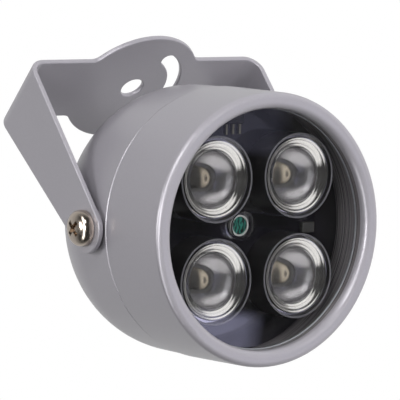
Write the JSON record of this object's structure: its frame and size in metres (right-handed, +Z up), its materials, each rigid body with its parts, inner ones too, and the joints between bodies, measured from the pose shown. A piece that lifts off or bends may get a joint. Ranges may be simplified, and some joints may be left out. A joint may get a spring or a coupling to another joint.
{
  "type": "infrared illuminator",
  "caption": "Round die-cast infrared lamp head with emitters behind glass, tilting on pivot screws in a folded U bracket that fixes to a ceiling or wall.",
  "frame": {"origin": "centre of the mounting hole, on the upper face of the bracket's web", "axes": "+Z up into the ceiling, X along the two pivot screws, -Y the side that the lamp shines to at rest"},
  "size_m": [0.0706, 0.0693, 0.0803],
  "materials": {
    "grey_paint": "satin silver-grey paint",
    "nickel": "bright nickel plate",
    "rubber": "matt",
    "front_glass": "polished",
    "black_board": "gloss solder mask",
    "green_board": "gloss solder mask",
    "black_plastic": "matt",
    "mirror_coat": "evaporated metal",
    "clear_acrylic": "polished",
    "ceramic": "fine matt",
    "emitter_gel": "clear gel dome",
    "sensor_face": "glazed",
    "tin": "tinned",
    "grey_epoxy": "moulded",
    "brass": "plated",
    "coil_wrap": "wrapped ferrite",
    "capacitor_sleeve": "shrunk sleeve",
    "gland_nylon": "moulded nylon"
  },
  "bodies": {
    "bracket": {"bracket": "grey_paint"},
    "head": {"hood": "grey_paint", "rear_shell": "grey_paint", "pivot_screws": "nickel", "pivot_washers": "nickel", "driver_screws": "nickel", "cell_ring": "nickel", "seam_ring": "rubber", "glass_seal": "rubber", "gland_seal": "rubber", "front_glass": "front_glass", "led_board": "black_board", "driver_board": "green_board", "led_holders": "black_plastic", "reflectors": "mirror_coat", "led_lenses": "clear_acrylic", "led_bases": "ceramic", "led_chips": "emitter_gel", "sensor_cell": "sensor_face", "sensor_collar": "clear_acrylic", "regulator": "black_plastic", "regulator_leads": "tin", "board_diode": "grey_epoxy", "standoffs": "brass", "board_header": "black_plastic", "header_pins": "brass", "driver_coil": "coil_wrap", "driver_capacitor": "capacitor_sleeve", "driver_controller": "black_plastic", "gland_body": "gland_nylon", "gland_cap": "gland_nylon", "gland_nut": "gland_nylon"}
  },
  "joints": [
    {"name": "head_tilt", "type": "hinge", "parent": "bracket", "child": "head", "pos_m": [0, 0, -0.042], "axis": [1, 0, 0], "range_deg": [-46, 134]}
  ]
}
